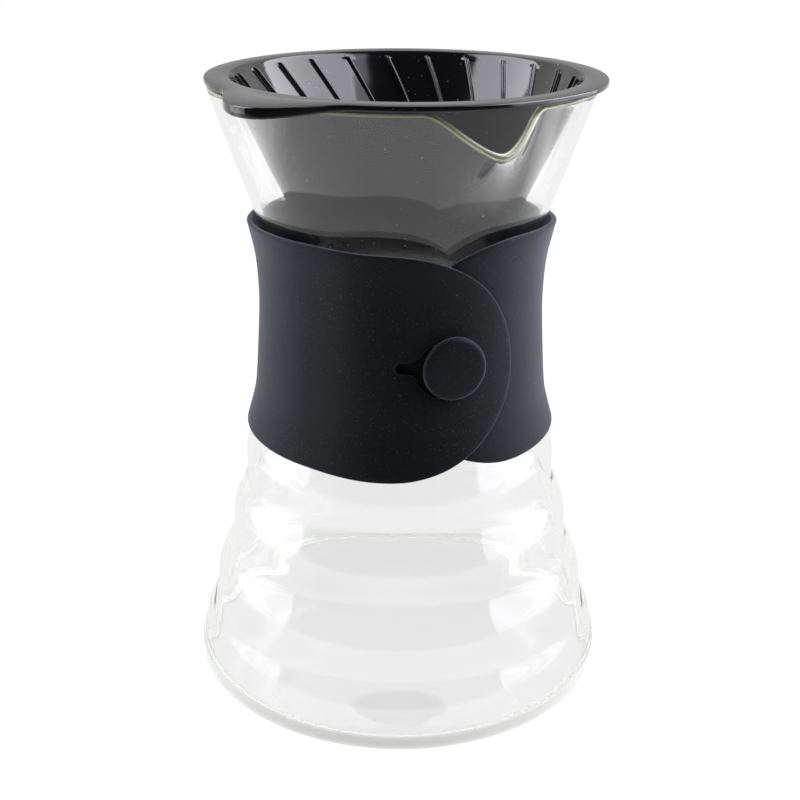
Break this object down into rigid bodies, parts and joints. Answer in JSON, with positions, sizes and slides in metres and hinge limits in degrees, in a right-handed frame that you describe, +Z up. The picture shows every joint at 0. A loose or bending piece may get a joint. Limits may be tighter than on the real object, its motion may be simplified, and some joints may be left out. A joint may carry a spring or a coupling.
{
  "type": "pour over dripper",
  "caption": "Hourglass glass coffee decanter with stacked bulges and a V spout, a lift-out ribbed cone dripper on its rim and a buttoned silicone sleeve round its waist.",
  "frame": {"origin": "centre of the base on the table, on the carafe's axis", "axes": "+Z up along the carafe's axis, -Y towards the user, with the button and the spout front right and the dripper's lifting tab front left"},
  "size_m": [0.1406, 0.1406, 0.198],
  "materials": {
    "clear_glass": "clear borosilicate glass, faint green at its edges",
    "black_plastic": "polished black moulded plastic",
    "black_silicone": "matt black silicone with a soft sheen"
  },
  "bodies": {
    "decanter": {"glass_decanter": "clear_glass", "silicone_band": "black_silicone", "band_stud": "black_silicone"},
    "dripper": {"dripper": "black_plastic"},
    "flap": {"band_flap": "black_silicone"}
  },
  "joints": [
    {"name": "dripper_lift", "type": "slide", "parent": "decanter", "child": "dripper", "axis": [0, 0, 1], "range_m": [0, 0.12]},
    {"name": "flap_open", "type": "hinge", "parent": "decanter", "child": "flap", "pos_m": [-0.0357, -0.02995, 0.12055], "axis": [0, 0, -1], "range_deg": [0, 60], "deforming": ["band_flap"]}
  ]
}
